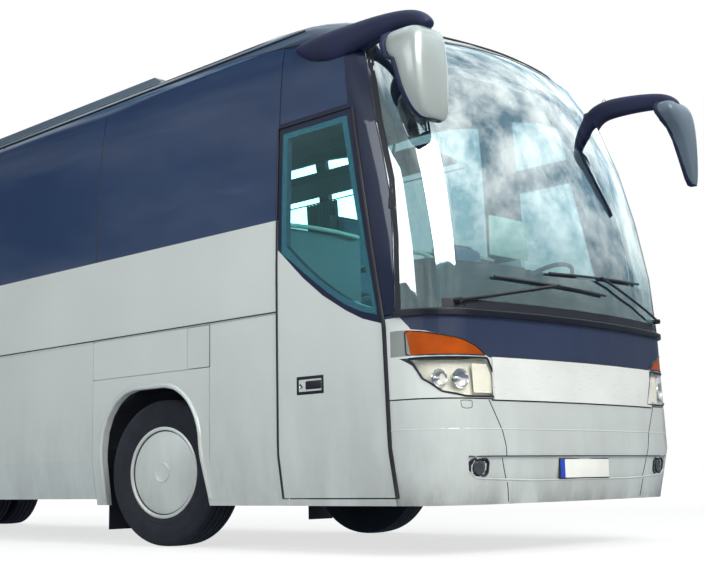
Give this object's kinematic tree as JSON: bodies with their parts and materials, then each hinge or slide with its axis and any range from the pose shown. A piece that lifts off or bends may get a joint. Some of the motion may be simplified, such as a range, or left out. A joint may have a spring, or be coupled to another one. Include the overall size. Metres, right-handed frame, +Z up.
{
  "type": "touring coach",
  "caption": "High-deck touring coach that rolls on its wheels, with steered front wheels, a plug door and lifting luggage flaps.",
  "frame": {"origin": "on the ground under the middle of the coach, its mirrors counted", "axes": "+Z up, the nose faces -Y, +X towards the driver's side and -X towards the door side"},
  "size_m": [2.825, 12.287, 3.7],
  "materials": {
    "silver_paint": "gloss",
    "navy_paint": "gloss",
    "cove_paint": "gloss",
    "tinted_glass": "gloss",
    "clear_lens": "gloss",
    "amber_lens": "gloss",
    "red_lens": "gloss",
    "wheel_paint": "satin",
    "tyre_rubber": "matte",
    "axle_steel": "satin",
    "frame_steel": "satin",
    "black_plastic": "matte",
    "cabin_trim": "matte",
    "floor_cover": "matte",
    "bay_sheet": "satin",
    "seat_fabric": "matte",
    "engine_casting": "satin"
  },
  "bodies": {
    "coach_body": {"air_conditioning_unit": "silver_paint", "chassis_frame": "frame_steel", "dashboard": "black_plastic", "driver_seat": "seat_fabric", "engine_block": "engine_casting", "floor_deck": "floor_cover", "fog_lamps": "clear_lens", "front_axle": "axle_steel", "front_bumper": "silver_paint", "front_panel": "navy_paint", "front_trim": "silver_paint", "headlamps": "clear_lens", "luggage_bay": "bay_sheet", "luggage_racks": "cabin_trim", "mirror_arms": "navy_paint", "mirror_heads": "silver_paint", "mudflaps": "tyre_rubber", "partitions": "cabin_trim", "passenger_seats": "seat_fabric", "rear_axle": "axle_steel", "rear_panel": "silver_paint", "rear_window": "tinted_glass", "roof": "cove_paint", "roof_hatches": "silver_paint", "side_glass_left": "tinted_glass", "side_glass_right": "tinted_glass", "side_panel_left": "silver_paint", "side_panel_right": "silver_paint", "tail_lamps": "red_lens", "turn_lamps": "amber_lens", "wheel_liners": "black_plastic", "windscreen": "tinted_glass", "wipers": "black_plastic"},
    "knuckle_left": {"knuckle_left": "axle_steel"},
    "knuckle_right": {"knuckle_right": "axle_steel"},
    "front_wheel_left": {"wheel_front_left": "wheel_paint", "tyre_front_left": "tyre_rubber"},
    "front_wheel_right": {"wheel_front_right": "wheel_paint", "tyre_front_right": "tyre_rubber"},
    "rear_wheels_left": {"wheel_rear_left": "wheel_paint", "tyres_rear_left": "tyre_rubber"},
    "rear_wheels_right": {"wheel_rear_right": "wheel_paint", "tyres_rear_right": "tyre_rubber"},
    "steering_wheel": {"steering_wheel": "black_plastic"},
    "door_arm": {"front_door_arm": "frame_steel"},
    "door_leaf": {"front_door": "silver_paint", "front_door_glass": "tinted_glass"},
    "filler_flap": {"filler_flap": "silver_paint"},
    "engine_lid": {"engine_lid": "silver_paint"},
    "bay_flap_left_1": {"luggage_flap_left_1": "silver_paint"},
    "bay_flap_left_2": {"luggage_flap_left_2": "silver_paint"},
    "bay_flap_left_3": {"luggage_flap_left_3": "silver_paint"},
    "bay_flap_right_1": {"luggage_flap_right_1": "silver_paint"},
    "bay_flap_right_2": {"luggage_flap_right_2": "silver_paint"},
    "bay_flap_right_3": {"luggage_flap_right_3": "silver_paint"}
  },
  "joints": [
    {"name": "steer_left", "type": "hinge", "parent": "coach_body", "child": "knuckle_left", "pos_m": [0.9, -3.18, 0.52], "axis": [0, 0, 1], "range_deg": [-52, 32]},
    {"name": "steer_right", "type": "hinge", "parent": "coach_body", "child": "knuckle_right", "pos_m": [-0.9, -3.18, 0.52], "axis": [0, 0, 1], "range_deg": [-52, 32]},
    {"name": "front_wheel_left_spin", "type": "hinge", "parent": "knuckle_left", "child": "front_wheel_left", "pos_m": [1.0428, -3.15482, 0.52], "axis": [0.9848, 0.1736, 0], "continuous": true},
    {"name": "front_wheel_right_spin", "type": "hinge", "parent": "knuckle_right", "child": "front_wheel_right", "pos_m": [-1.0428, -3.20518, 0.52], "axis": [0.9848, 0.1736, 0], "continuous": true},
    {"name": "rear_wheels_left_spin", "type": "hinge", "parent": "coach_body", "child": "rear_wheels_left", "pos_m": [0.935, 2.9, 0.52], "axis": [1, 0, 0], "continuous": true},
    {"name": "rear_wheels_right_spin", "type": "hinge", "parent": "coach_body", "child": "rear_wheels_right", "pos_m": [-0.935, 2.9, 0.52], "axis": [1, 0, 0], "continuous": true},
    {"name": "steering_wheel_turn", "type": "hinge", "parent": "coach_body", "child": "steering_wheel", "pos_m": [0.62, -5.3, 1.8], "axis": [0, 0.5, 0.866], "range_deg": [-936, 576]},
    {"name": "door_arm_swing", "type": "hinge", "parent": "coach_body", "child": "door_arm", "pos_m": [-1.15, -5.38, 1], "axis": [0, 0, 1], "range_deg": [0, 150]},
    {"name": "door_leaf_turn", "type": "hinge", "parent": "door_arm", "child": "door_leaf", "pos_m": [-1.15, -4.88, 1], "axis": [0, 0, 1], "range_deg": [-150, 0]},
    {"name": "filler_flap_swing", "type": "hinge", "parent": "coach_body", "child": "filler_flap", "pos_m": [-1.275, -3.876, 1.36], "axis": [0, 0, 1], "range_deg": [0, 110]},
    {"name": "bay_flap_right_1_lift", "type": "hinge", "parent": "coach_body", "child": "bay_flap_right_1", "pos_m": [-1.275, -1.693, 1.51], "axis": [0, 1, 0], "range_deg": [0, 90]},
    {"name": "bay_flap_right_2_lift", "type": "hinge", "parent": "coach_body", "child": "bay_flap_right_2", "pos_m": [-1.275, -0.135, 1.51], "axis": [0, 1, 0], "range_deg": [0, 90]},
    {"name": "bay_flap_right_3_lift", "type": "hinge", "parent": "coach_body", "child": "bay_flap_right_3", "pos_m": [-1.275, 1.423, 1.51], "axis": [0, 1, 0], "range_deg": [0, 90]},
    {"name": "bay_flap_left_1_lift", "type": "hinge", "parent": "coach_body", "child": "bay_flap_left_1", "pos_m": [1.275, -1.693, 1.51], "axis": [0, -1, 0], "range_deg": [0, 90]},
    {"name": "bay_flap_left_2_lift", "type": "hinge", "parent": "coach_body", "child": "bay_flap_left_2", "pos_m": [1.275, -0.135, 1.51], "axis": [0, -1, 0], "range_deg": [0, 90]},
    {"name": "bay_flap_left_3_lift", "type": "hinge", "parent": "coach_body", "child": "bay_flap_left_3", "pos_m": [1.275, 1.423, 1.51], "axis": [0, -1, 0], "range_deg": [0, 90]},
    {"name": "engine_lid_lift", "type": "hinge", "parent": "coach_body", "child": "engine_lid", "pos_m": [0, 6.156, 1.76], "axis": [1, 0, 0], "range_deg": [0, 85]}
  ],
  "couplings": [
    {"joint": "steer_right", "follows": "steer_left", "ratio": 1},
    {"joint": "steering_wheel_turn", "follows": "steer_left", "ratio": 18},
    {"joint": "door_leaf_turn", "follows": "door_arm_swing", "ratio": -1}
  ]
}
